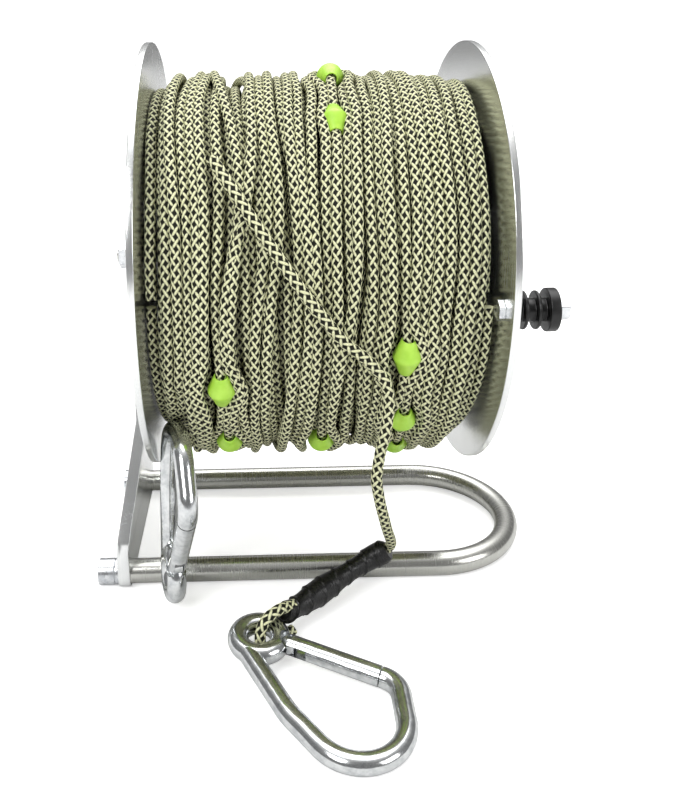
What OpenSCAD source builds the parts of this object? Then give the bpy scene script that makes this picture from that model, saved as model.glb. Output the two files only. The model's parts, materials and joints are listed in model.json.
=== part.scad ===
// Open hand reel for marker line: spool turning on one side plate, U handle that is also the stand,
// crank knob, wound line with marker beads, taped line end and two snap hooks.
// X runs along the axle, Y from the front leg to the back leg, Z up. Origin: centre of the base.

/* [Spool] */
// Diameter of the two flanges
flange_d = 204; // [180:1:206]
// Width of the spool over its flanges
spool_w = 153; // [130:1:160]
// Thickness of a flange
flange_t = 3; // [2:0.5:4]
// Outer diameter of the drum
drum_d = 60; // [50:1:80]
// Outer diameter of the wound line
winding_d = 174; // [150:1:176]

/* [Frame] */
// Height of the axle above the base
axle_h = 157; // [150:1:180]
// Diameter of the handle rod
rod_d = 12; // [10:0.5:12]
// Distance between the two legs of the handle
leg_spacing = 90; // [80:1:92]
// Straight length of a leg, from the plate to the bend
leg_length = 153; // [140:1:160]
// Thickness of the side plate
plate_t = 6; // [5:0.5:6]
// Offset between the foot and the arm of the side plate
joggle = 8; // [6:0.5:9]

/* [Crank] */
// Distance from the axle to the crank knob
crank_r = 88; // [70:1:90]
// Diameter of the knob's end disc
knob_d = 18; // [16:0.5:20]

/* [Line and hooks] */
// Diameter of the line
line_d = 5; // [4:0.5:5]
// Diameter of the taped splice
tape_d = 11.5; // [11:0.5:12]
// Diameter of a marker bead
bead_d = 12.4; // [9:0.1:13]
// Length of a marker bead
bead_l = 17; // [12:1:18]
// Wire diameter of a snap hook
wire_d = 8.6; // [8:0.1:8.6]

/* [Hidden] */
$fn = 64;
eps = 0.01;
skin = 0.04;
run_in = 0.5;

// Spool, measured from its middle
flange_out = spool_w / 2;
flange_in = flange_out - flange_t;
flange_r = flange_d / 2;
winding_r = winding_d / 2;
winding_end_r = winding_r - 7;
winding_slope = 12;
drum_wall = 2;
hub_t = 9;
bush_r = 8;
journal_r = 5;
running_gap = 0.05;
screw_pcd = 42;
screw_r = 2.5;
screw_hole_r = 2.75;

// Side plate, measured from the middle of the spool
arm_gap = 5.5;
arm_in = -flange_out - arm_gap;
arm_out = arm_in - plate_t;
foot_in = arm_in - joggle;
foot_out = foot_in - plate_t;
arm_r = 17;
foot_r = 6.5;
foot_top = 22;
foot_reach = leg_spacing / 2 + 1.5;
joggle_top = 76;
waist = 21;
thread_r = 4;

// Handle
rod_r = rod_d / 2;
leg_y = leg_spacing / 2;
leg_z = foot_r;
bend_x = foot_in + leg_length;
rod_hole_depth = 22;
handle_end = bend_x + leg_y + rod_r;
bolt_head_r = 6.5;
bolt_head_l = 8;
washer_t = 2;
washer_r = 6.35;
bolt_end = foot_out - washer_t - bolt_head_l;

// The origin lies midway between the bolt heads and the handle's bend
mid_x = -(handle_end + bolt_end) / 2;

// Axle
axle_head_r = 8;
axle_head_t = 5;
bush_flange_t = 1.8;
bush_flange_r = 12;
axle_washer_t = 1.2;
nut_af = 13;
nut_t = 5;

// Crank
crank_drop = 4;
crank_head_t = 2.6;
crank_bolt_r = 2.5;
crank_nut_af = 8;
crank_nut_t = 4;
knob_start = flange_out + 0.4;
knob_core_r = 4.75;
fin_r = 8;
fin_w = 1.4;
fin_start = 3.6;
fin_pitch = 5.3;
knob_disc_w = 4.3;
knob_end = knob_start + 17.8;
crank_washer_t = 1;

// Snap hook, flat in its own XY plane: the eye at the origin, the wide bend along +X
wire_r = wire_d / 2;
eye_ring_r = 9.2;
eye_wire_r = 4.5;
gate_angle = 27.5;
pivot = [10.5, 8.4];
gate_l = 40.4;
gate_r = 4.3;
gate_bore_r = 3.1;
lug_w = 4;
slot_w = 4.6;
slot_l = 9;
lug_r = 3.6;
fork_room = 0.5;
pin_r = 1.3;
nose_r = 10;
bend_r = 19.3;
spine_y = -15.4;
spine_start = [2.5, -8.85];
bend_centre = [56.5, spine_y + bend_r];
shoulder_angle = 142;

// Line hook on the ground, its eye raised by the line under it
line_hook_at = [-27.6, -102.4, 10.5];
line_hook_turn = -52.8;
line_hook_tilt = 4.6;

// Spare hook, upright between the front leg and the winding, its eye resting against the leg
spare_hook_at = [-67.8, -63, 17];
spare_hook_lean = 3.1;
spare_hook_tilt = 3.6;
spare_hook_yaw = 15.2;

// Route of the free line, from the winding over the front of the spool to the taped splice
tail_route = [
    [-44, -73, 214], [-36, -80.5, 203], [-27, -86.5, 190], [-18, -90, 177], [-9, -92, 164],
    [0, -92, 152], [9, -91, 141], [19, -89, 132], [26, -88, 123], [28, -88, 113],
    [27, -88, 101], [25, -87, 89], [24, -86, 77], [26, -83, 65], [29, -78, 53], [32, -71, 42],
    [35, -63, 32], [36, -57, 25], [31, -56.5, 20], [22, -60, 17], [12, -66, 15], [2, -73.5, 13],
    [-7, -81.5, 13.5], [-13.3, -88, 15.8], [-19.3, -94.8, 18.7], [-25.3, -99.8, 16.7],
    [-27.3, -101.8, 9.8], [-25.3, -100.8, 3.8], [-19.3, -95.8, 3], [-12.3, -89.8, 5]
];

// Route of the tape round the splice
tape_route = [
    [35, -58, 23], [28, -57, 19], [18.5, -61.5, 16], [8, -68.5, 14], [-2.5, -77, 12.5],
    [-12.5, -86, 12.5]
];

// Marker beads: place along the axle, and angle round the axle from straight ahead, up positive
bead_places = [
    [-42, -27], [-40, -54], [2.5, -55], [36, -17], [37.5, -42], [39, -63], [9, 84], [8, 57]
];
bead_centre_r = winding_r - 3.5;

// A vector of length 1 along v
function unit(v) = v / norm(v);

// Corner i of a path, rounded to radius r: the length cut from each side
function cut(p, r, i) =
    let (a = unit(p[i - 1] - p[i]), b = unit(p[i + 1] - p[i]))
    r[i] == 0 ? 0 : r[i] * sqrt((1 + a * b) / (1 - a * b));

// A rod of radius rod through the flat path p, its corners bent to the radii in r. The straights are
// finer than the bends by skin and run a little way into them.
module bent_rod(p, r, rod) {
    last = len(p) - 1;
    for (i = [0 : last - 1]) {
        a = p[i + 1] - p[i];
        from = i == 0 ? 0 : cut(p, r, i) - run_in;
        to = norm(a) - (i == last - 1 ? 0 : cut(p, r, i + 1) - run_in);
        translate([p[i][0], p[i][1], 0])
            rotate([0, 90, atan2(a[1], a[0])])
                translate([0, 0, from]) cylinder(r = rod - skin, h = to - from);
    }
    for (i = [1 : last - 1]) {
        a = unit(p[i] - p[i - 1]);
        b = unit(p[i + 1] - p[i]);
        side = sign(a[0] * b[1] - a[1] * b[0]);
        turn = acos(a * b);
        start = p[i] - a * cut(p, r, i);
        centre = start + side * r[i] * [-a[1], a[0]];
        translate([centre[0], centre[1], 0])
            rotate([0, 0, atan2(a[1], a[0]) - side * 90 - (side < 0 ? turn : 0)])
                rotate_extrude(angle = turn) translate([r[i], 0]) circle(r = rod);
    }
}

// A ring of points round a route point, square to the direction dir
function ring(at, dir, r, sides) =
    let (u = unit(cross(dir, abs(dir[2]) > 0.9 * norm(dir) ? [1, 0, 0] : [0, 0, 1])),
         v = cross(unit(dir), u))
    [for (k = [0 : sides - 1]) at + r * (cos(360 * k / sides) * u + sin(360 * k / sides) * v)];

// The point at t from 0 to 1 between route points i and i + 1, on a smooth curve
function spline(p, i, t) =
    let (last = len(p) - 1, a = p[max(i - 1, 0)], b = p[i], c = p[i + 1], d = p[min(i + 2, last)])
    0.5 * (2 * b + (c - a) * t + (2 * a - 5 * b + 4 * c - d) * t * t
        + (3 * b - a - 3 * c + d) * t * t * t);

// A soft tube of radius r swept along the route p, with steps rings for each pair of points
module swept_tube(p, r, sides, steps) {
    last = len(p) - 1;
    path = [for (i = [0 : last - 1], k = [0 : steps - 1]) spline(p, i, k / steps), p[last]];
    n = len(path);
    rings = [for (j = [0 : n - 1])
        ring(path[j], path[min(j + 1, n - 1)] - path[max(j - 1, 0)], r, sides)];
    sides_faces = [for (j = [0 : n - 2], k = [0 : sides - 1])
        let (m = (k + 1) % sides)
        [j * sides + k, j * sides + m, (j + 1) * sides + m, (j + 1) * sides + k]];
    first_face = [for (k = [0 : sides - 1]) sides - 1 - k];
    last_face = [for (k = [0 : sides - 1]) (n - 1) * sides + k];
    polyhedron([for (q = rings, v = q) v], concat(sides_faces, [first_face, last_face]), 8);
}

// Places its children in the spool's frame: the axle along X through the origin
module on_axle() {
    translate([mid_x, 0, axle_h]) children();
}

// Places its children with X measured from the middle of the spool and Z from the base
module on_base() {
    translate([mid_x, 0, 0]) children();
}

// A cylinder along X from x = a to x = b
module bar(a, b, r) {
    translate([a, 0, 0]) rotate([0, 90, 0]) cylinder(r = r, h = b - a);
}

// A hexagonal bar along X, af across its flats
module hex_bar(a, b, af) {
    translate([a, 0, 0]) rotate([0, 90, 0]) cylinder(d = af / cos(30), h = b - a, $fn = 6);
}

// Puts its children at the four screws of a flange
module at_screws() {
    for (k = [0 : 3]) rotate([45 + 90 * k, 0, 0]) translate([0, screw_pcd / 2, 0]) children();
}

// Places its children at the crank bolt: straight ahead of the axle and a little below it
module at_crank() {
    on_axle() translate([0, -crank_r, -crank_drop]) children();
}

module side_plate() {
    color("gainsboro") on_base() difference() {
        intersection() {
            // the joggled strip, seen along Y
            rotate([90, 0, 0]) linear_extrude(2 * flange_r, center = true)
                polygon([
                    [foot_out, 0], [foot_in, 0], [foot_in, foot_top], [arm_in, joggle_top],
                    [arm_in, axle_h + arm_r], [arm_out, axle_h + arm_r], [arm_out, joggle_top],
                    [foot_out, foot_top]
                ]);
            // the outline, seen along X
            rotate([90, 0, 90]) linear_extrude(4 * flange_r, center = true) union() {
                translate([0, axle_h]) circle(r = arm_r);
                polygon([
                    [-arm_r, axle_h], [-waist, joggle_top], [-foot_reach - foot_r, foot_top + 6],
                    [-foot_reach - foot_r, foot_r], [-foot_reach, 0], [foot_reach, 0],
                    [foot_reach + foot_r, foot_r], [foot_reach + foot_r, foot_top + 6],
                    [waist, joggle_top], [arm_r, axle_h]
                ]);
                for (side = [-1, 1]) translate([side * foot_reach, foot_r]) circle(r = foot_r);
            }
        }
        translate([0, 0, axle_h]) bar(arm_out - 1, arm_in + 1, thread_r + 0.2);
        for (side = [-1, 1])
            translate([0, side * leg_y, leg_z]) bar(foot_out - 1, foot_in + 1, thread_r + 0.2);
    }
}

module handle_loop() {
    color("silver") on_base() difference() {
        translate([0, 0, leg_z])
            bent_rod(
                [[foot_in, -leg_y], [bend_x + leg_y, -leg_y], [bend_x + leg_y, leg_y], [foot_in, leg_y]],
                [0, leg_y, leg_y, 0], rod_r);
        for (side = [-1, 1])
            translate([0, side * leg_y, leg_z]) bar(foot_in - 1, foot_in + rod_hole_depth, thread_r);
    }
}

// Socket head screw that holds one leg of the handle
module handle_bolt(side) {
    head_x = foot_out - washer_t;
    color("whitesmoke") on_base() translate([0, side * leg_y, leg_z]) difference() {
        union() {
            bar(bolt_end, head_x, bolt_head_r);
            bar(head_x - eps, foot_in + rod_hole_depth - 2, thread_r);
        }
        hex_bar(bolt_end - 1, bolt_end + 4, 6);
    }
}

module lock_washer(side) {
    color("silver") on_base() translate([0, side * leg_y, leg_z]) difference() {
        bar(foot_out - washer_t, foot_out, washer_r);
        bar(foot_out - washer_t - 1, foot_out + 1, thread_r + 0.1);
    }
}

// Shoulder screw: head outside the right flange, journal through the bushes, thread in the plate
module axle() {
    head_x = flange_out + bush_flange_t + 0.4;
    color("silver") on_axle() difference() {
        union() {
            bar(head_x, head_x + axle_head_t, axle_head_r);
            bar(arm_in, head_x + eps, journal_r);
            bar(arm_out - axle_washer_t - nut_t - 1, arm_in + eps, thread_r);
        }
        hex_bar(head_x + axle_head_t - 3, head_x + axle_head_t + 1, 6);
    }
}

module axle_nut() {
    color("whitesmoke") on_axle() difference() {
        hex_bar(arm_out - axle_washer_t - nut_t, arm_out - axle_washer_t, nut_af);
        bar(arm_out - axle_washer_t - nut_t - 1, arm_out, thread_r);
    }
}

module axle_washer_outer() {
    color("silver") on_axle() difference() {
        bar(arm_out - axle_washer_t, arm_out, axle_head_r);
        bar(arm_out - axle_washer_t - 1, arm_out + 1, thread_r + 0.2);
    }
}

module axle_washer_inner() {
    color("silver") on_axle() difference() {
        bar(arm_in, arm_in + axle_washer_t, axle_head_r + 2);
        bar(arm_in - 1, arm_in + axle_washer_t + 1, journal_r);
    }
}

// Flanged bush in one end of the drum: side -1 is the left end, 1 the right
module bush(side) {
    color("ivory") on_axle() mirror([side < 0 ? 1 : 0, 0, 0]) difference() {
        union() {
            bar(flange_in - hub_t, flange_out + eps, bush_r);
            bar(flange_out, flange_out + bush_flange_t, bush_flange_r);
        }
        bar(flange_in - hub_t - 1, flange_out + bush_flange_t + 1, journal_r + running_gap);
    }
}

// Hub disc pressed into one end of the drum
module hub(side) {
    color("silver") on_axle() mirror([side < 0 ? 1 : 0, 0, 0]) difference() {
        bar(flange_in - hub_t, flange_in, drum_d / 2 - drum_wall);
        bar(flange_in - hub_t - 1, flange_in + 1, bush_r);
        at_screws() bar(flange_in - hub_t - 1, flange_in + 1, screw_r);
    }
}

module drum_tube() {
    color("silver") on_axle() difference() {
        bar(-flange_in, flange_in, drum_d / 2);
        bar(-flange_in - 1, flange_in + 1, drum_d / 2 - drum_wall);
    }
}

module flange_left() {
    color("gainsboro") on_axle() difference() {
        bar(-flange_out, -flange_in, flange_r);
        bar(-flange_out - 1, -flange_in + 1, bush_r);
        at_screws() bar(-flange_out - 1, -flange_in + 1, screw_hole_r);
    }
}

module flange_right() {
    color("gainsboro") difference() {
        on_axle() difference() {
            bar(flange_in, flange_out, flange_r);
            bar(flange_in - 1, flange_out + 1, bush_r);
            at_screws() bar(flange_in - 1, flange_out + 1, screw_hole_r);
        }
        at_crank() bar(flange_in - 1, flange_out + 1, crank_bolt_r);
    }
}

// Four button head screws that hold one flange to its hub
module flange_screws(side) {
    color("whitesmoke") on_axle() mirror([side < 0 ? 1 : 0, 0, 0]) at_screws() difference() {
        union() {
            bar(flange_in - hub_t + 1, flange_out + eps, screw_r);
            bar(flange_out, flange_out + 2.4, 4.5);
        }
        hex_bar(flange_out + 1, flange_out + 3, 3);
    }
}

module crank_bolt() {
    color("whitesmoke") at_crank() {
        hex_bar(flange_in - crank_head_t, flange_in, crank_nut_af);
        bar(flange_in - eps, knob_end + crank_washer_t + crank_nut_t + 0.8, crank_bolt_r);
    }
}

module crank_nut() {
    start = knob_end + crank_washer_t + 0.3;
    color("whitesmoke") at_crank() difference() {
        hex_bar(start, start + crank_nut_t, crank_nut_af);
        bar(start - 1, start + crank_nut_t + 1, crank_bolt_r);
    }
}

module crank_washer() {
    color("silver") at_crank() difference() {
        bar(knob_end + 0.3, knob_end + 0.3 + crank_washer_t, 5);
        bar(knob_end - 1, knob_end + 3, crank_bolt_r);
    }
}

// Turning knob: a core with two thin fins and a thick end disc
module crank_knob() {
    color([0.08, 0.08, 0.08]) at_crank() difference() {
        union() {
            bar(knob_start, knob_end, knob_core_r);
            for (k = [0 : 1]) translate([knob_start + fin_start + k * fin_pitch, 0, 0]) bar(0, fin_w, fin_r);
            bar(knob_end - knob_disc_w, knob_end, knob_d / 2);
        }
        bar(knob_start - 1, knob_end + 1, crank_bolt_r + running_gap);
    }
}

module line_winding() {
    color("darkkhaki") on_axle() rotate([0, 90, 0]) rotate_extrude($fn = 96)
        polygon([
            [drum_d / 2, -flange_in], [winding_end_r, -flange_in], [winding_r, -flange_in + winding_slope],
            [winding_r, flange_in - winding_slope], [winding_end_r, flange_in], [drum_d / 2, flange_in]
        ]);
}

module marker_beads() {
    color("yellowgreen") on_axle() for (p = bead_places)
        rotate([-p[1], 0, 0]) translate([p[0], -bead_centre_r, 0])
            rotate_extrude($fn = 32) polygon([
                [0, -bead_l / 2], [1.8, -bead_l / 2], [bead_d / 2, -1.5], [bead_d / 2, 1.5],
                [1.8, bead_l / 2], [0, bead_l / 2]
            ]);
}

module line_tail() {
    color("darkkhaki") on_base() swept_tube(tail_route, line_d / 2, 8, 2);
}

module splice_tape() {
    color([0.06, 0.06, 0.06]) on_base() swept_tube(tape_route, tape_d / 2, 12, 2);
}

// The bent wire of a snap hook with its eye and the lug that carries the gate
module hook_wire() {
    shoulder = [cos(shoulder_angle), sin(shoulder_angle)];
    gate_dir = [cos(gate_angle), sin(gate_angle)];
    bend_exit = bend_centre + bend_r * [sin(shoulder_angle), -cos(shoulder_angle)];
    corner_x = bend_exit[0] + (bend_exit[1] - spine_y) * -shoulder[0] / shoulder[1];
    step = cross2(pivot - bend_exit, gate_dir) / cross2(shoulder, gate_dir);
    nose_corner = bend_exit + step * shoulder;
    nose_end = pivot + (gate_l + 0.6) * gate_dir;
    difference() {
        union() {
            bent_rod(
                [spine_start, [38, spine_y], [corner_x, spine_y], nose_corner, nose_end],
                [0, 30, bend_r, nose_r, 0], wire_r);
            rotate_extrude() translate([eye_ring_r, 0]) circle(r = eye_wire_r);
        }
        // room for the two ears of the gate's fork
        for (z = [lug_w / 2, -lug_w / 2 - wire_r])
            translate([pivot[0], pivot[1], z]) cylinder(r = gate_r + fork_room, h = wire_r);
        translate([pivot[0], pivot[1], -wire_r]) cylinder(r = pin_r + running_gap, h = wire_d);
    }
    difference() {
        union() {
            translate([pivot[0], pivot[1], -lug_w / 2]) cylinder(r = lug_r, h = lug_w);
            translate([0, 0, -lug_w / 2]) linear_extrude(lug_w)
                polygon([[6, 4], [pivot[0] + 1.6, pivot[1] - 3.2], [pivot[0] - 1.6, pivot[1] + 3.2], [4, 8.4]]);
        }
        translate([pivot[0], pivot[1], -wire_r]) cylinder(r = pin_r + running_gap, h = wire_d);
    }
}

// The z part of the cross product of two flat vectors
function cross2(a, b) = a[0] * b[1] - a[1] * b[0];

// Places its children along the gate: X from the pivot to the nose
module on_gate() {
    translate([pivot[0], pivot[1], 0]) rotate([0, 0, gate_angle]) children();
}

module hook_gate() {
    on_gate() difference() {
        union() {
            bar(0, gate_l, gate_r);
            sphere(r = gate_r);
        }
        bar(7, gate_l + 1, gate_bore_r);
        translate([-gate_r - 1, -gate_r - 1, -slot_w / 2]) cube([gate_r + 1 + slot_l, 2 * gate_r + 2, slot_w]);
        cylinder(r = pin_r, h = 3 * gate_r, center = true);
    }
}

module hook_pin() {
    translate([pivot[0], pivot[1], -gate_r + 0.6]) cylinder(r = pin_r, h = 2 * gate_r - 1.2);
}

module hook_spring() {
    on_gate() difference() {
        bar(slot_l + 5, gate_l - 2, gate_bore_r - 0.3);
        bar(slot_l + 4, gate_l - 1, gate_bore_r - 1);
    }
}

module hook_plunger() {
    on_gate() bar(slot_l - 1, slot_l + 4.8, gate_bore_r - 0.4);
}

module at_line_hook() {
    on_base() translate(line_hook_at) rotate([0, 0, line_hook_turn]) rotate([0, line_hook_tilt, 0]) children();
}

// The spare hook's long axis is up, its plane nearly square to the axle and its gate to the front
module at_spare_hook() {
    on_base() translate(spare_hook_at) rotate([spare_hook_lean, 0, 0]) rotate([0, spare_hook_tilt, 0])
        rotate([0, 0, spare_hook_yaw]) rotate([180, -90, 0]) children();
}

module line_hook_body() { color("silver") at_line_hook() hook_wire(); }
module line_hook_gate() { color("silver") at_line_hook() hook_gate(); }
module line_hook_pin() { color("gray") at_line_hook() hook_pin(); }
module line_hook_spring() { color("gray") at_line_hook() hook_spring(); }
module line_hook_plunger() { color("gray") at_line_hook() hook_plunger(); }
module spare_hook_body() { color("silver") at_spare_hook() hook_wire(); }
module spare_hook_gate() { color("silver") at_spare_hook() hook_gate(); }
module spare_hook_pin() { color("gray") at_spare_hook() hook_pin(); }
module spare_hook_spring() { color("gray") at_spare_hook() hook_spring(); }
module spare_hook_plunger() { color("gray") at_spare_hook() hook_plunger(); }

side_plate();
handle_loop();
handle_bolt(-1);  // handle_bolt_front
handle_bolt(1);  // handle_bolt_back
lock_washer(-1);  // lock_washer_front
lock_washer(1);  // lock_washer_back
axle();
axle_nut();
axle_washer_outer();
axle_washer_inner();
bush(-1);  // bush_left
bush(1);  // bush_right
hub(-1);  // hub_left
hub(1);  // hub_right
drum_tube();
flange_left();
flange_right();
flange_screws(-1);  // flange_screws_left
flange_screws(1);  // flange_screws_right
crank_bolt();
crank_nut();
crank_washer();
crank_knob();
line_winding();
marker_beads();
line_tail();
splice_tape();
line_hook_body();
line_hook_gate();
line_hook_pin();
line_hook_spring();
line_hook_plunger();
spare_hook_body();
spare_hook_gate();
spare_hook_pin();
spare_hook_spring();
spare_hook_plunger();
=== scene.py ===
import json
import math
import random

import bmesh
import bpy
from mathutils import Matrix, Vector, noise


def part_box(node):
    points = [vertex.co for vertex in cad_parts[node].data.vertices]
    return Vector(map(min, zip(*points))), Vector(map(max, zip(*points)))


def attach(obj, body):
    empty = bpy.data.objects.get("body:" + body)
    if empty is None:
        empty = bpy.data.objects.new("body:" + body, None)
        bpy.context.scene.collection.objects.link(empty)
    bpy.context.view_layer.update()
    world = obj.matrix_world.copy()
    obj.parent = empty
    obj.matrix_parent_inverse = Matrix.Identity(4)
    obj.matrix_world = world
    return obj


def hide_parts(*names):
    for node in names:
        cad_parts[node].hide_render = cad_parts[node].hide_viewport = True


# Open hand reel of marker line: a spool on one side plate, a rod handle that is also the stand,
# a small crank knob, the wound line with its beads, the taped line end and two snap hooks.
# Lengths in this script are in millimetres, and MM turns them to metres.

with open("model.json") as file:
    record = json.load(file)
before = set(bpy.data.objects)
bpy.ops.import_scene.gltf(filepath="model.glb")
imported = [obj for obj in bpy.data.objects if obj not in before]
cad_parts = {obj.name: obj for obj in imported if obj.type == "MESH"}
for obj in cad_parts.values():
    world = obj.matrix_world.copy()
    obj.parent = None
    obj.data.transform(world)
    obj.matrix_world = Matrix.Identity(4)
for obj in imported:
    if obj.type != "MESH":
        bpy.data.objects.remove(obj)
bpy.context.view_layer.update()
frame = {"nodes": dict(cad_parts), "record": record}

MM = 0.001
PI = math.pi

low, high = (Vector(corner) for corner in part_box("line_winding"))
AXLE = (low + high) / 2
WINDING_R = (high.z - low.z) / 2 / MM
WINDING_END = (high.x - low.x) / 2 / MM

LINE_R = 2.5
# The braid repeats every BRAID_REPEAT along the line, with BRAID_STRANDS pale strands each way.
# Half widths of a pale and of a black strand are in parts of the distance between two strands.
BRAID_REPEAT = 4.7
BRAID_STRANDS = 4
STRAND_HALF = 0.265
BLACK_HALF = 0.24
# STRAND_HEIGHT and STRAND_LAP set the pale strands' relief, which also sets the painted shade where a
# pale strand dips under another
STRAND_HEIGHT = 0.64
STRAND_LAP = 0.34
BLACK_HEIGHT = 0.45


# ---------------------------------------------------------------- camera

CAMERA_AT = Vector((-32.0, -414.1, 258.8)) * MM
CAMERA_YAW = 0.032
CAMERA_PITCH = 0.271
CAMERA_ROLL = -0.006
CAMERA_LENS = 38.2
CAMERA_SHIFT = (0.0883, -0.153)


def make_camera():
    data = bpy.data.cameras.new("camera")
    data.lens = CAMERA_LENS
    data.shift_x, data.shift_y = CAMERA_SHIFT
    data.clip_start = 0.01
    camera = bpy.data.objects.new("camera", data)
    turn = Matrix.Rotation(-CAMERA_YAW, 4, "Z") @ Matrix.Rotation(PI / 2 - CAMERA_PITCH, 4, "X")
    camera.matrix_world = Matrix.Translation(CAMERA_AT) @ turn @ Matrix.Rotation(CAMERA_ROLL, 4, "Z")
    bpy.context.collection.objects.link(camera)
    bpy.context.scene.camera = camera


make_camera()


# ---------------------------------------------------------------- materials

def srgb(code):
    """A linear colour from an sRGB hex code."""
    parts = [int(code[i : i + 2], 16) / 255 for i in (1, 3, 5)]
    return [c / 12.92 if c <= 0.04045 else ((c + 0.055) / 1.055) ** 2.4 for c in parts] + [1.0]


def add(tree, kind, inputs=(), named=(), **settings):
    """A new node: its settings, then its inputs in order and by name, each a value or a socket."""
    node = tree.nodes.new(kind)
    for key, value in settings.items():
        setattr(node, key, value)
    pairs = list(zip(node.inputs, inputs)) + [(node.inputs[k], v) for k, v in dict(named).items()]
    for socket, value in pairs:
        if isinstance(value, bpy.types.NodeSocket):
            tree.links.new(value, socket)
        elif value is not None:
            socket.default_value = value
    return node


def new_material(name):
    """An empty node material: its tree and its Principled shader."""
    material = bpy.data.materials.new(name)
    material.use_nodes = True
    return material, material.node_tree, material.node_tree.nodes["Principled BSDF"]


def ramp(tree, factor, stops):
    """A colour ramp over factor with its stops as (place, colour)."""
    node = add(tree, "ShaderNodeValToRGB", (factor,))
    points = node.color_ramp.elements
    for point, (place, colour) in zip(points, stops):
        point.position, point.color = place, colour
    for place, colour in stops[2:]:
        points.new(place).color = colour
    return node.outputs[0]


def grey(value):
    return [value, value, value, 1.0]


def mixed_colour(tree, factor, first, second):
    """The colour between two others. The node keeps five inputs of other kinds before its colours."""
    inputs = (factor, *[None] * 5, first, second)
    return add(tree, "ShaderNodeMix", inputs, data_type="RGBA").outputs[2]


def set_bump(tree, shader, height, distance):
    """Bump from a height from 0 to 1, which stands for distance in millimetres."""
    values = {"Strength": 1.0, "Distance": distance * MM, "Height": height}
    bump = add(tree, "ShaderNodeBump", named=values)
    tree.links.new(bump.outputs[0], shader.inputs["Normal"])


def brushed_aluminium():
    """Rolled and brushed sheet: long fine streaks one way, faint smudges, bright and satin."""
    material, tree, shader = new_material("brushed_aluminium_sheet")
    shader.inputs["Metallic"].default_value = 1.0
    place = add(tree, "ShaderNodeTexCoord").outputs["Object"]
    # streaks 0.5 mm wide and about 60 mm long, running up the sheet
    streaks = add(tree, "ShaderNodeMapping", (place,), {"Scale": (2000, 2000, 16)})
    fine = {"Scale": 1.0, "Detail": 3.0, "Roughness": 0.6}
    grain = add(tree, "ShaderNodeTexNoise", (streaks.outputs[0],), fine)
    smudge = add(tree, "ShaderNodeTexNoise", (place,), {"Scale": 22.0, "Detail": 3.0})
    mixed = add(tree, "ShaderNodeMath", (grain.outputs[0], 0.55), operation="MULTIPLY")
    both = (smudge.outputs[0], 0.45, mixed.outputs[0])
    mixed = add(tree, "ShaderNodeMath", both, operation="MULTIPLY_ADD")
    colour = ramp(tree, mixed.outputs[0], [(0.32, srgb("#E6E8E8")), (0.68, srgb("#FAFBFA"))])
    rough = ramp(tree, mixed.outputs[0], [(0.3, grey(0.30)), (0.7, grey(0.18))])
    tree.links.new(colour, shader.inputs["Base Color"])
    tree.links.new(rough, shader.inputs["Roughness"])
    set_bump(tree, shader, grain.outputs[0], 0.02)
    return material


def satin_stainless():
    """Polished round bar: fine rings left by the belt, running round the rod and round its bend."""
    material, tree, shader = new_material("satin_stainless_bar")
    shader.inputs["Metallic"].default_value = 1.0
    place = add(tree, "ShaderNodeTexCoord").outputs["Object"]
    centred = add(tree, "ShaderNodeMapping", (place,), {"Location": (-BEND_CENTRE, 0, 0)})
    parts = add(tree, "ShaderNodeSeparateXYZ", (centred.outputs[0],))
    across = add(tree, "ShaderNodeMath", (parts.outputs[1],), operation="ABSOLUTE")
    angle = add(tree, "ShaderNodeMath", (parts.outputs[0], across.outputs[0]), operation="ARCTAN2")
    arc = add(tree, "ShaderNodeMath", (angle.outputs[0], BEND_RADIUS), operation="MULTIPLY")
    behind = add(tree, "ShaderNodeMath", (parts.outputs[0], 0.0), operation="LESS_THAN")
    either = (behind.outputs[0], None, arc.outputs[0], parts.outputs[0])
    along = add(tree, "ShaderNodeMix", either, data_type="FLOAT")
    point = add(tree, "ShaderNodeCombineXYZ", (along.outputs[0], 0.0, 0.0))
    # rings about 0.5 mm apart, drawn a little coarser than the real ones so that they show
    rings = add(tree, "ShaderNodeTexNoise", (point.outputs[0],), {"Scale": 2000.0, "Detail": 3.0})
    blotch = add(tree, "ShaderNodeTexNoise", (place,), {"Scale": 45.0, "Detail": 2.0})
    mixed = add(tree, "ShaderNodeMath", (rings.outputs[0], 0.7), operation="MULTIPLY")
    both = (blotch.outputs[0], 0.3, mixed.outputs[0])
    mixed = add(tree, "ShaderNodeMath", both, operation="MULTIPLY_ADD")
    colour = ramp(tree, mixed.outputs[0], [(0.3, srgb("#BDBDB7")), (0.7, srgb("#D2D2CD"))])
    rough = ramp(tree, mixed.outputs[0], [(0.3, grey(0.31)), (0.7, grey(0.20))])
    tree.links.new(colour, shader.inputs["Base Color"])
    tree.links.new(rough, shader.inputs["Roughness"])
    set_bump(tree, shader, rings.outputs[0], 0.012)
    return material


def plated_steel(name, tint, roughness, wave):
    """Zinc plate over forged or turned steel: bright, with soft waves and fine handling marks."""
    material, tree, shader = new_material(name)
    shader.inputs["Metallic"].default_value = 1.0
    place = add(tree, "ShaderNodeTexCoord").outputs["Object"]
    dull = add(tree, "ShaderNodeTexNoise", (place,), {"Scale": 260.0, "Detail": 5.0, "Roughness": 0.7})
    soft = add(tree, "ShaderNodeTexNoise", (place,), {"Scale": 130.0, "Detail": 1.0})
    dark, light = tint
    colour = ramp(tree, dull.outputs[0], [(0.35, srgb(dark)), (0.6, srgb(light))])
    rough = ramp(tree, dull.outputs[0], [(0.35, grey(roughness * 1.7)), (0.62, grey(roughness))])
    tree.links.new(colour, shader.inputs["Base Color"])
    tree.links.new(rough, shader.inputs["Roughness"])
    set_bump(tree, shader, soft.outputs[0], wave)
    return material


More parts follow.
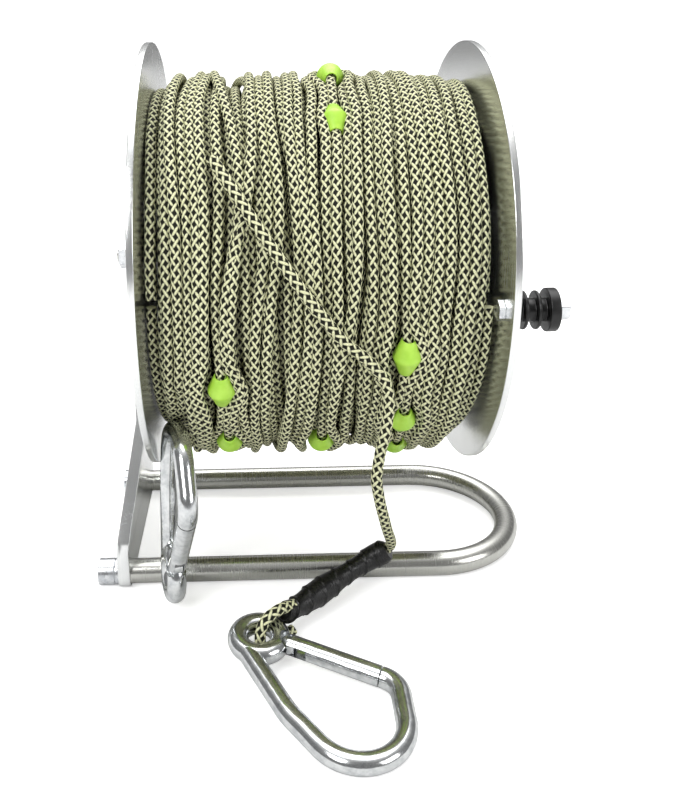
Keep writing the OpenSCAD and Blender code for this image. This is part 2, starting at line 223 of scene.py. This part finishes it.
def braided_line():
    """Braided polyester: pale strands crossing over and under, with black ones in the diamonds, and
    painted shade on a pale strand towards its sides and where it dips under another.
    """
    material, tree, shader = new_material("braided_polyester_line")
    shader.inputs["Roughness"].default_value = 0.7
    shader.inputs["Specular IOR Level"].default_value = 0.25
    uv = add(tree, "ShaderNodeUVMap", uv_map="line")
    parts = add(tree, "ShaderNodeSeparateXYZ", (uv.outputs[0],))

    def calc(operation, *inputs):
        return add(tree, "ShaderNodeMath", inputs, operation=operation).outputs[0]

    # U is in millimetres along the line, V goes from 0 to 1 round it
    along = calc("DIVIDE", parts.outputs[0], BRAID_REPEAT)
    round_it = calc("MULTIPLY", parts.outputs[1], float(BRAID_STRANDS))
    right, left = calc("ADD", along, round_it), calc("SUBTRACT", along, round_it)
    strands = []
    blacks = []
    for this, other, over in ((right, left, STRAND_LAP), (left, right, -STRAND_LAP)):
        nearest = calc("ROUND", this)
        off = calc("ABSOLUTE", calc("SUBTRACT", this, nearest))
        curve = calc("POWER", calc("DIVIDE", off, STRAND_HALF), 2.0)
        crown = calc("MAXIMUM", calc("SUBTRACT", 1.0, curve), 0.0)
        lap = calc("COSINE", calc("MULTIPLY", calc("ADD", other, nearest), PI))
        strands.append(calc("MULTIPLY", crown, calc("MULTIPLY_ADD", lap, over, STRAND_HEIGHT)))
        gap = calc("DIVIDE", calc("SUBTRACT", 0.5, off), BLACK_HALF)
        hump = calc("SUBTRACT", 1.0, calc("POWER", gap, 2.0))
        blacks.append(calc("MULTIPLY", hump, BLACK_HEIGHT))
    pale = calc("MAXIMUM", *strands)
    black = calc("MAXIMUM", calc("MAXIMUM", *blacks), 0.0)
    height = calc("MAXIMUM", pale, black)

    fibres = add(tree, "ShaderNodeMapping", (uv.outputs[0],), {"Scale": (2.2, 40.0, 1.0)})
    fuzz = add(tree, "ShaderNodeTexNoise", (fibres.outputs[0],), {"Scale": 1.0, "Detail": 2.0})
    cream = ramp(tree, fuzz.outputs[0], [(0.3, srgb("#CACB96")), (0.65, srgb("#F6F6D2"))])
    ink = ramp(tree, fuzz.outputs[0], [(0.3, srgb("#060703")), (0.7, srgb("#181A0E"))])
    # black between the pale strands, as on the real line; and since the mix follows a pale strand's
    # height, the strand is also painted darker towards its sides and where it dips under another, as
    # painted shade
    edge = add(tree, "ShaderNodeMapRange", (pale, 0.2, 0.6, 0.0, 1.0), interpolation_type="SMOOTHSTEP")
    strand_colour_with_painted_shade = mixed_colour(tree, edge.outputs[0], ink, cream)
    tree.links.new(strand_colour_with_painted_shade, shader.inputs["Base Color"])
    total = calc("MULTIPLY_ADD", fuzz.outputs[0], 0.12, height)
    set_bump(tree, shader, total, 0.75)
    return material


def bead_plastic():
    """Injection moulded polyethylene: lime green, waxy, with faint flow marks."""
    material, tree, shader = new_material("lime_polyethylene")
    shader.inputs["Subsurface Weight"].default_value = 0.12
    shader.inputs["Subsurface Radius"].default_value = (0.6, 1.0, 0.2)
    shader.inputs["Subsurface Scale"].default_value = 1.5 * MM
    place = add(tree, "ShaderNodeTexCoord").outputs["Object"]
    flow = add(tree, "ShaderNodeTexNoise", (place,), {"Scale": 180.0, "Detail": 3.0})
    pores = add(tree, "ShaderNodeTexNoise", (place,), {"Scale": 1300.0, "Detail": 2.0})
    colour = ramp(tree, flow.outputs[0], [(0.3, srgb("#A0D23C")), (0.7, srgb("#B6E254"))])
    rough = ramp(tree, flow.outputs[0], [(0.3, grey(0.42)), (0.7, grey(0.30))])
    tree.links.new(colour, shader.inputs["Base Color"])
    tree.links.new(rough, shader.inputs["Roughness"])
    set_bump(tree, shader, pores.outputs[0], 0.03)
    return material


def black_tape():
    """Stretched vinyl tape: black, soft gloss, with stretch lines across each lap."""
    material, tree, shader = new_material("black_vinyl_tape")
    uv = add(tree, "ShaderNodeUVMap", uv_map="line")
    slant = {"Scale": (0.9, 5.0, 1.0), "Rotation": (0, 0, 0.35)}
    pull = add(tree, "ShaderNodeMapping", (uv.outputs[0],), slant)
    lines = add(tree, "ShaderNodeTexNoise", (pull.outputs[0],), {"Scale": 2.0, "Detail": 4.0})
    colour = ramp(tree, lines.outputs[0], [(0.3, srgb("#020202")), (0.7, srgb("#070708"))])
    rough = ramp(tree, lines.outputs[0], [(0.3, grey(0.22)), (0.7, grey(0.40))])
    tree.links.new(colour, shader.inputs["Base Color"])
    tree.links.new(rough, shader.inputs["Roughness"])
    set_bump(tree, shader, lines.outputs[0], 0.25)
    return material


def moulded(name, dark, light, rough_low, rough_high, grain_mm):
    """Moulded rubber or plastic: even colour with a fine eroded grain."""
    material, tree, shader = new_material(name)
    place = add(tree, "ShaderNodeTexCoord").outputs["Object"]
    grain = add(tree, "ShaderNodeTexNoise", (place,), {"Scale": 1 / (grain_mm * MM), "Detail": 3.0})
    cloud = add(tree, "ShaderNodeTexNoise", (place,), {"Scale": 90.0, "Detail": 2.0})
    colour = ramp(tree, cloud.outputs[0], [(0.3, srgb(dark)), (0.7, srgb(light))])
    rough = ramp(tree, cloud.outputs[0], [(0.3, grey(rough_low)), (0.7, grey(rough_high))])
    tree.links.new(colour, shader.inputs["Base Color"])
    tree.links.new(rough, shader.inputs["Roughness"])
    set_bump(tree, shader, grain.outputs[0], 0.03)
    return material


low, high = (Vector(corner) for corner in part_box("handle_loop"))
ROD_R = (high.z - low.z) / 2
BEND_RADIUS = (high.y - low.y) / 2 - ROD_R
BEND_CENTRE = high.x - ROD_R - BEND_RADIUS

ALUMINIUM = brushed_aluminium()
STAINLESS = satin_stainless()
HOOK_STEEL = plated_steel("polished_zinc_plated_steel", ("#BFC2C4", "#E2E4E4"), 0.13, 0.25)
SCREW_STEEL = plated_steel("bright_zinc_plated_screws", ("#C4C7CB", "#E6E8EA"), 0.2, 0.05)
SPRING_STEEL = plated_steel("plain_spring_steel", ("#7B7D80", "#A3A5A8"), 0.28, 0.02)
BRAID = braided_line()
BEAD = bead_plastic()
TAPE = black_tape()
RUBBER = moulded("black_moulded_rubber", "#020202", "#080808", 0.30, 0.44, 0.35)
NYLON = moulded("natural_nylon", "#DDD8C6", "#EFEBDD", 0.4, 0.52, 0.3)
FINISHES = {
    "brushed_aluminium": ALUMINIUM,
    "satin_stainless": STAINLESS,
    "polished_steel": HOOK_STEEL,
    "zinc_plated_steel": SCREW_STEEL,
    "spring_steel": SPRING_STEEL,
    "nylon": NYLON,
    "black_rubber": RUBBER,
    "braided_line": BRAID,
    "black_tape": TAPE,
    "lime_bead": BEAD,
}
SLOTS = {part["node"]: part["material_slot"] for part in frame["record"]["subparts"]}
BODY_OF = {
    node: body for body, nodes in frame["record"]["behaviour"]["bodies"].items() for node in nodes
}

for name, obj in frame["nodes"].items():
    obj.data.materials.clear()
    obj.data.materials.append(FINISHES[SLOTS[name]])


# ---------------------------------------------------------------- helpers for new pieces

def new_piece(name, mesh, material, node=None, body=None):
    """Links a mesh as a piece on a body; with a node it stands for that node."""
    mesh.materials.append(material)
    piece = bpy.data.objects.new(name, mesh)
    bpy.context.collection.objects.link(piece)
    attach(piece, body or BODY_OF[node])
    if node:
        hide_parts(node)
    return piece


def tube(name, path, radius, sides, roll=None):
    """A closed tube round a path in metres. radius is in millimetres, or a function of the distance
    along the path and the fraction of a turn round it. Its UV map holds the millimetres along it and
    the fraction round it."""
    mesh = bmesh.new()
    uv = mesh.loops.layers.uv.new("line")
    size = radius if callable(radius) else (lambda s, v: radius)
    rings, lengths = [], []
    travelled = 0.0
    up = Vector((1.0, 0.0, 0.0))
    for i, point in enumerate(path):
        ahead = (path[min(i + 1, len(path) - 1)] - path[max(i - 1, 0)]).normalized()
        travelled += (point - path[i - 1]).length / MM if i else 0.0
        up = (up - ahead * up.dot(ahead)).normalized()
        side = ahead.cross(up)
        ring = []
        for k in range(sides):
            turn = 2 * PI * k / sides
            out = up * math.cos(turn) + side * math.sin(turn)
            ring.append(mesh.verts.new(point + out * size(travelled, k / sides) * MM))
        rings.append(ring)
        lengths.append(travelled)
    for i in range(len(path) - 1):
        rolls = [roll(lengths[i]), roll(lengths[i + 1])] if roll else [0.0, 0.0]
        for k in range(sides):
            n = (k + 1) % sides
            face = mesh.faces.new((rings[i][k], rings[i][n], rings[i + 1][n], rings[i + 1][k]))
            face.smooth = True
            corners = ((0, k), (0, k + 1), (1, k + 1), (1, k))
            for loop, (step, place) in zip(face.loops, corners):
                loop[uv].uv = (lengths[i + step], place / sides + rolls[step])
    mesh.faces.new(list(reversed(rings[0])))
    mesh.faces.new(rings[-1])
    data = bpy.data.meshes.new(name)
    bmesh.ops.recalc_face_normals(mesh, faces=mesh.faces)
    mesh.to_mesh(data)
    mesh.free()
    return data


def smooth_route(points, steps):
    """Points on a smooth curve through the route, with steps between each pair."""
    last = len(points) - 1
    path = []
    for i in range(last):
        a, b, c, d = (points[max(i - 1, 0)], points[i], points[i + 1], points[min(i + 2, last)])
        for k in range(steps):
            t = k / steps
            square, cube = 2 * a - 5 * b + 4 * c - d, 3 * b - a - 3 * c + d
            path.append(0.5 * (2 * b + (c - a) * t + square * t**2 + cube * t**3))
    path.append(points[last].copy())
    return path


def route(rows):
    """Route points from rows in millimetres, X counted from the middle of the spool."""
    return [Vector((AXLE.x + x * MM, y * MM, z * MM)) for x, y, z in rows]


def path_length(path):
    return sum((b - a).length for a, b in zip(path, path[1:]))


# ---------------------------------------------------------------- the free end of the line

TAIL_ROUTE = route([
    (-44, -73, 214), (-36, -80.5, 203), (-27, -86.5, 190), (-18, -90, 177), (-9, -92, 164),
    (0, -92, 152), (9, -91, 141), (19, -89, 132), (26, -88, 123), (28, -88, 113),
    (27, -88, 101), (25, -87, 89), (24, -86, 77), (26, -83, 65), (29, -78, 53), (32, -71, 42),
    (35, -63, 32), (36, -57, 25), (31, -56.5, 20), (22, -60, 17), (12, -66, 15), (2, -73.5, 13),
    (-7, -81.5, 13.5), (-13.3, -88, 15.8), (-19.3, -94.8, 18.7), (-25.3, -99.8, 16.7),
    (-27.3, -101.8, 9.8), (-25.3, -100.8, 3.8), (-19.3, -95.8, 3), (-12.3, -89.8, 5),
])
TAPE_ROUTE = route([
    (35, -58, 23), (28, -57, 19), (18.5, -61.5, 16), (8, -68.5, 14), (-2.5, -77, 12.5),
    (-12.5, -86, 12.5), (-16, -90, 15),
])
BRAID_PROUD = 0.14
TAPE_R = 5.3
TAPE_LAP = 9.0


def braid_relief(s, v):
    """Radius of the free line: the crossing strands stand a little proud of its round core."""
    right = s / BRAID_REPEAT + v * BRAID_STRANDS
    left = s / BRAID_REPEAT - v * BRAID_STRANDS
    proud = max(math.cos(2 * PI * right), math.cos(2 * PI * left))
    return LINE_R - BRAID_PROUD + BRAID_PROUD * proud


def tape_wrap(s, v):
    """Radius of the taped splice: helical laps with a raised edge each, slow swells, rounded ends,
    and a section a little flatter one way."""
    lap = s / TAPE_LAP + v
    rough = abs(noise.noise(Vector((math.floor(lap) * 3.1, 0.4, 0.9))))
    ridge = (0.5 + 0.9 * rough) * (lap % 1.0) ** 5
    along = s / TAPE_LENGTH
    swell = 0.7 * math.sin(PI * 3.4 * along + 0.9) - 0.1
    ends = -1.6 * (max(0.0, 0.07 - along) / 0.07) ** 2 - 1.0 * (max(0.0, along - 0.95) / 0.05) ** 2
    flat = 0.35 * math.cos(4 * PI * v + 0.8 * math.sin(s / 7.0))
    return TAPE_R + ridge + swell + ends + flat


tail_path = smooth_route(TAIL_ROUTE, 18)
tail_mesh = tube("line_tail", tail_path, braid_relief, 24)
line_tail = new_piece("line_tail_braided", tail_mesh, BRAID, "line_tail")
tape_path = smooth_route(TAPE_ROUTE, 26)
TAPE_LENGTH = path_length(tape_path) / MM
tape_mesh = tube("splice_tape", tape_path, tape_wrap, 40)
splice_tape = new_piece("splice_tape_wrapped", tape_mesh, TAPE, "splice_tape")


# ---------------------------------------------------------------- the wound line

# Beads: place along the axle, angle above straight ahead, and how far each stands out
BEADS = [
    (-42, -27, 1.5), (-40, -54, 1.5), (2.5, -55, 1.5), (36, -17, 1.0), (37.5, -42, 1.0), (39, -63, 1.0),
    (9, 84, 3.0), (8, 57, -1.5),
]
BEAD_R = 6.2
BEAD_SIDES = 40
BEAD_CENTRE = WINDING_R - 3.5
BEAD_ROOM, SUNK_BEAD_ROOM = 8.2, 4.5
BEAD_REACH = 30

OUTER_R = WINDING_R - 3.1
WOUND_R = 2.3
LAYER_STEP = 4.8
STEPS = 96

# Loose turns: their slack ends this far from the middle and takes a width to reach its full depth
SLACK, SLACK_END, SLACK_WIDTH = 11.0, 76, 16
# and they draw in by an amount, from a place on, over a width, beside the left and right flange
DRAWN_LEFT, DRAWN_RIGHT = (2.0, 20, 50), (7.0, 35, 35)
SLOPE_DROP, SLOPE_EASED, SLOPE_WIDTH = 7.0, 4.0, 12
# The spare hook: its side of the winding, its angle below straight ahead and its spread in degrees,
# and the radius that it leaves free
HOOK_SIDE, HOOK_SIDE_WIDTH = -49, 8
HOOK_BELOW, HOOK_SPREAD, HOOK_SPREAD_WIDTH = 45, 24, 6
HOOK_ROOM, OPEN_ROOM = 85.2, 40.0

# Unevenness of the turns: shared by neighbours, each turn's own, and the few that stray far
WANDER, SHIVER, STRAY = 5.0, 2.4, 10.0
STRAY_LENGTH = 0.6
# A turn that comes closer than TOUCH to an older one climbs on it, by CLIMB at most
TOUCH, CLIMB = 4.5, 3.0
SMOOTHINGS, KEPT = 14, 0.35
SEAM_STEPS = 12


def clamped(value):
    return max(0.0, min(1.0, value))


def below(angle):
    """0 at and above the axle's height, growing to 1 straight below it."""
    return max(0.0, -math.sin(angle))


def slack(x, angle):
    """How far the loose outer turns hang away from the drum at the bottom, less by the flanges."""
    across = clamped((x + SLACK_END) / SLACK_WIDTH) * clamped((SLACK_END - x) / SLACK_WIDTH)
    return SLACK * math.sin(PI / 2 * across) * below(angle) ** 1.5


def drawn_in(x, angle):
    """How far the hanging turns draw in from the flanges, as a move along the axle."""
    left, right = (
        amount * max(0.0, (distance - start) / width) ** 1.5
        for distance, (amount, start, width) in ((-x, DRAWN_LEFT), (x, DRAWN_RIGHT))
    )
    return below(angle) ** 4 * (left - right)


def slope(x, angle):
    """Drop of the winding's surface near the flanges, less where the turns hang."""
    steep = SLOPE_DROP - SLOPE_EASED * below(angle)
    return steep * max(0.0, (abs(x) - WINDING_END + SLOPE_WIDTH) / SLOPE_WIDTH)


def room_for_hook(x, angle):
    """The largest radius of a turn where the spare hook stands against the winding."""
    beside = clamped((HOOK_SIDE - x) / HOOK_SIDE_WIDTH)
    off = abs(math.degrees((angle + PI) % (2 * PI) - PI) + HOOK_BELOW)
    behind = clamped((HOOK_SPREAD - off) / HOOK_SPREAD_WIDTH)
    return HOOK_ROOM + OPEN_ROOM * (1 - beside * behind)


def threaded(first, last, turns):
    """Where each bead sits along a layer, in turns from the layer's start."""
    places = []
    for bead_x, bead_angle, _ in BEADS:
        share = bead_angle % 360 / 360
        places.append(round((bead_x - first) / (last - first) * turns - share) + share)
    return places


def round_beads(x, part, places):
    """Moves a turn sideways where it passes a bead, or onto the bead that it carries. Gives its new
    place, how firmly it is held to a bead's height from 0 to 1, and that height."""
    hold, height = 0.0, 0.0
    for place, (bead_x, _, proud) in zip(places, BEADS):
        off = part - place
        room = BEAD_ROOM if proud > 0 else SUNK_BEAD_ROOM
        if abs(off) < 0.5:
            arc = off * 2 * PI * WINDING_R
            x += (bead_x - x) * math.exp(-((arc / 30) ** 2))
            near = math.exp(-((arc / 15) ** 4))
            if near > hold:
                hold, height = near, BEAD_CENTRE + proud
        else:
            arc = (off - round(off)) * 2 * PI * WINDING_R
            aside = x - bead_x
            if abs(arc) < 50 and abs(aside) < BEAD_REACH:
                push = room * math.exp(-((arc / 12) ** 2))
                fade = 1 - abs(aside) / BEAD_REACH
                x += fade * (math.copysign(math.hypot(aside, push), off) - aside) * min(1.0, push)
    return x, hold, height


def wound_layer(first, last, turns, base, seed, stray_count, beads):
    """Centreline of one layer, as (x, angle, radius): turns side by side that wander, and climb over
    each other where they come too close."""
    rng = random.Random(seed)
    strays = [(rng.uniform(2, turns - 2), rng.choice((-1, 1))) for _ in range(stray_count)]
    laid = []
    places = threaded(first, last, turns) if beads else []
    limit = WINDING_END - WOUND_R - 0.4
    for turn in range(turns):
        xs, tops, holds = [], [], []
        for k in range(STEPS):
            part = turn + k / STEPS
            angle = 2 * PI * k / STEPS
            x = first + (last - first) * part / turns
            shared = noise.noise(Vector((x / 24 + seed, 1.1 * math.cos(angle), 1.1 * math.sin(angle))))
            own = noise.noise(Vector((part * 2.3, seed * 3.7, 0.5)))
            x += WANDER * shared + SHIVER * own
            for place, side in strays:
                x += side * STRAY * math.exp(-(((part - place) * 2 * PI / STRAY_LENGTH) ** 2))
            x, hold, height = round_beads(x, part, places)
            x = max(-limit, min(limit - 1.0, x))
            ground = base - slope(x, angle)
            top = ground
            for older in laid[-4:]:
                near = abs(x - older[0][k])
                if near < TOUCH:
                    lift = math.sqrt(TOUCH**2 - near**2)
                    if abs(top - older[1][k]) < lift:
                        top = older[1][k] + lift
            xs.append(x)
            tops.append(min(top, ground + CLIMB))
            holds.append((hold, height))
        for _ in range(SMOOTHINGS):
            for k in range(1, STEPS - 1):
                middle = (tops[k - 1] + tops[k + 1]) / 2
                tops[k] = tops[k] * KEPT + middle * (1 - KEPT)
        if laid:
            step = laid[-1][1][-1] - tops[0]
            for k in range(SEAM_STEPS):
                tops[k] += step * (1 - k / SEAM_STEPS) ** 2
        tops = [top + (height - top) * hold for top, (hold, height) in zip(tops, holds)]
        laid.append((xs, tops))
    return [(xs[k], 2 * PI * k / STEPS, tops[k]) for xs, tops in laid for k in range(STEPS)]


def at_spool(x, angle, radius):
    """A point on the spool: angle 0 is straight ahead, and it grows upwards."""
    radius = min(radius + slack(x, angle), room_for_hook(x, angle))
    x += drawn_in(x, angle)
    ahead, up = -radius * math.cos(angle) * MM, radius * math.sin(angle) * MM
    return Vector((AXLE.x + x * MM, ahead, AXLE.z + up))


def lazy_roll(s):
    """The line turns slowly about itself as it lies."""
    return 0.35 * noise.noise(Vector((s / 260, 4.2, 1.3)))


outer = wound_layer(-70.5, 70.5, 31, OUTER_R, 3, 9, True)
under = wound_layer(70, -70, 30, OUTER_R - LAYER_STEP, 8, 0, False)
inner = wound_layer(-70, 70, 31, OUTER_R - 2 * LAYER_STEP, 15, 0, False)
for name, layer, sides in (("outer", outer, 12), ("under", under, 10), ("inner", inner, 8)):
    mesh = tube(f"line_winding_{name}", [at_spool(*place) for place in layer], WOUND_R, sides, lazy_roll)
    piece = new_piece(f"line_winding_{name}", mesh, BRAID, body=BODY_OF["line_winding"])
    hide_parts("line_winding")


def marker_beads():
    """Eight bicone beads threaded on the outer turns."""
    mesh = bmesh.new()
    outline = [(2.6, -8.5), (3.0, -8.5), (3.2, -8.1), (5.5, -2.0), (6.0, -0.9), (BEAD_R, 0.0)]
    outline += [(r, -x) for r, x in reversed(outline[:-1])]
    for bead_x, bead_angle, proud in BEADS:
        angle = math.radians(bead_angle)
        corners = [mesh.verts.new((r * MM, 0, x * MM)) for r, x in outline]
        edges = [mesh.edges.new(pair) for pair in zip(corners, corners[1:] + corners[:1])]
        before = set(mesh.verts) - set(corners)
        bmesh.ops.spin(
            mesh, geom=corners + edges, cent=(0, 0, 0), axis=(0, 0, 1), angle=2 * PI,
            steps=BEAD_SIDES, use_merge=True,
        )
        centre = at_spool(bead_x, angle, BEAD_CENTRE + proud)
        turn = Matrix.Translation(centre) @ Matrix.Rotation(-angle, 4, "X")
        bmesh.ops.transform(mesh, matrix=turn, verts=[v for v in mesh.verts if v not in before])
    bmesh.ops.recalc_face_normals(mesh, faces=mesh.faces)
    for face in mesh.faces:
        face.smooth = True
    data = bpy.data.meshes.new("marker_beads")
    mesh.to_mesh(data)
    mesh.free()
    return data


new_piece("marker_beads_moulded", marker_beads(), BEAD, "marker_beads")


# ---------------------------------------------------------------- eased metal and rubber parts

SHARP_EDGE = math.radians(35)
FLAT_ENOUGH = math.radians(0.4)
SHADED_EDGE = math.radians(40)


def eased(node, width):
    """A copy of a CAD part with its sharp edges eased by width, which stands for it."""
    mesh = bmesh.new()
    mesh.from_mesh(frame["nodes"][node].data)
    bmesh.ops.remove_doubles(mesh, verts=mesh.verts, dist=0.002 * MM)
    bmesh.ops.dissolve_limit(mesh, angle_limit=FLAT_ENOUGH, verts=mesh.verts, edges=mesh.edges)
    closed = [e for e in mesh.edges if len(e.link_faces) == 2]
    edges = [e for e in closed if e.calc_face_angle() > SHARP_EDGE]
    bmesh.ops.bevel(
        mesh, geom=edges, offset=width * MM, affect="EDGES", segments=2, profile=0.5, material=-1
    )
    for face in mesh.faces:
        face.smooth = True
    data = bpy.data.meshes.new(node)
    mesh.to_mesh(data)
    mesh.free()
    data.set_sharp_from_angle(angle=SHADED_EDGE)
    piece = new_piece(f"{node}_eased", data, FINISHES[SLOTS[node]], node)
    piece.modifiers.new("even shading", "WEIGHTED_NORMAL").keep_sharp = True


EASED = {
    "side_plate": 0.7,
    "flange_left": 0.45,
    "flange_right": 0.45,
    "handle_bolt_front": 0.45,
    "handle_bolt_back": 0.45,
    "lock_washer_front": 0.25,
    "lock_washer_back": 0.25,
    "axle_nut": 0.4,
    "axle_washer_outer": 0.25,
    "crank_bolt": 0.3,
    "crank_nut": 0.3,
    "crank_washer": 0.2,
    "crank_knob": 0.5,
}
for node, width in EASED.items():
    eased(node, width)


# ---------------------------------------------------------------- floor and light

FLOOR_R = 9.0
FLOOR_BOUNCE = 0.68
FLOOR_GLOW = 0.5
OVERHEAD = (0.0, 0.28, 0.96)
ROOM_LIGHT = 3.6
ROOM_SEEN = 1.2
AIM = Vector((0, 0, 0.12))


def studio():
    """A wide flat floor, painted white. It glows a little to the eye and throws little light back, as
    a white sheet far below the reel would."""
    mesh = bmesh.new()
    bmesh.ops.create_circle(mesh, cap_ends=True, radius=FLOOR_R, segments=96)
    data = bpy.data.meshes.new("studio")
    mesh.to_mesh(data)
    mesh.free()
    material, tree, shader = new_material("white_studio_paint")
    shader.inputs["Roughness"].default_value = 0.9
    shader.inputs["Specular IOR Level"].default_value = 0.1
    place = add(tree, "ShaderNodeTexCoord").outputs["Object"]
    cloud = add(tree, "ShaderNodeTexNoise", (place,), {"Scale": 1.5, "Detail": 1.0})
    seen = add(tree, "ShaderNodeLightPath").outputs["Is Camera Ray"]
    pale = ramp(tree, cloud.outputs[0], [(0.2, srgb("#F6F6F6")), (0.8, srgb("#FBFBFB"))])
    tree.links.new(mixed_colour(tree, seen, grey(FLOOR_BOUNCE), pale), shader.inputs["Base Color"])
    shader.inputs["Emission Color"].default_value = grey(1.0)
    glow = add(tree, "ShaderNodeMath", (seen, FLOOR_GLOW), operation="MULTIPLY")
    tree.links.new(glow.outputs[0], shader.inputs["Emission Strength"])
    data.materials.append(material)
    floor = bpy.data.objects.new("studio_floor", data)
    bpy.context.collection.objects.link(floor)


def soft_box(name, at, size, power):
    """A square soft light that faces the reel."""
    data = bpy.data.lights.new(name, "AREA")
    data.size = size
    data.energy = power
    lamp = bpy.data.objects.new(name, data)
    aim = (AIM - Vector(at)).to_track_quat("-Z", "Y")
    lamp.matrix_world = Matrix.Translation(at) @ aim.to_matrix().to_4x4()
    bpy.context.collection.objects.link(lamp)


def room():
    """A dim room with a wide soft light overhead, a little behind the reel, and white to the camera."""
    world = bpy.data.worlds.new("studio_light")
    world.use_nodes = True
    tree = world.node_tree
    ray = add(tree, "ShaderNodeTexCoord").outputs["Generated"]
    towards = add(tree, "ShaderNodeVectorMath", (ray, OVERHEAD), operation="DOT_PRODUCT")
    stops = [(0.0, grey(0.06)), (0.55, grey(0.07)), (0.8, grey(0.2)), (0.9, grey(1.0))]
    shade = ramp(tree, towards.outputs["Value"], stops)
    seen = add(tree, "ShaderNodeLightPath").outputs["Is Camera Ray"]
    straight = add(tree, "ShaderNodeBackground", (grey(1.0), ROOM_SEEN))
    around = tree.nodes["Background"]
    tree.links.new(shade, around.inputs["Color"])
    around.inputs["Strength"].default_value = ROOM_LIGHT
    mixed = add(tree, "ShaderNodeMixShader", (seen, around.outputs[0], straight.outputs[0]))
    tree.links.new(mixed.outputs[0], tree.nodes["World Output"].inputs["Surface"])
    bpy.context.scene.world = world


studio()
room()
soft_box("key_light", (-0.9, -1.3, 1.3), 0.8, 20)
soft_box("fill_light", (1.4, -1.1, 0.8), 0.8, 11)
bpy.context.scene.view_settings.view_transform = "Standard"
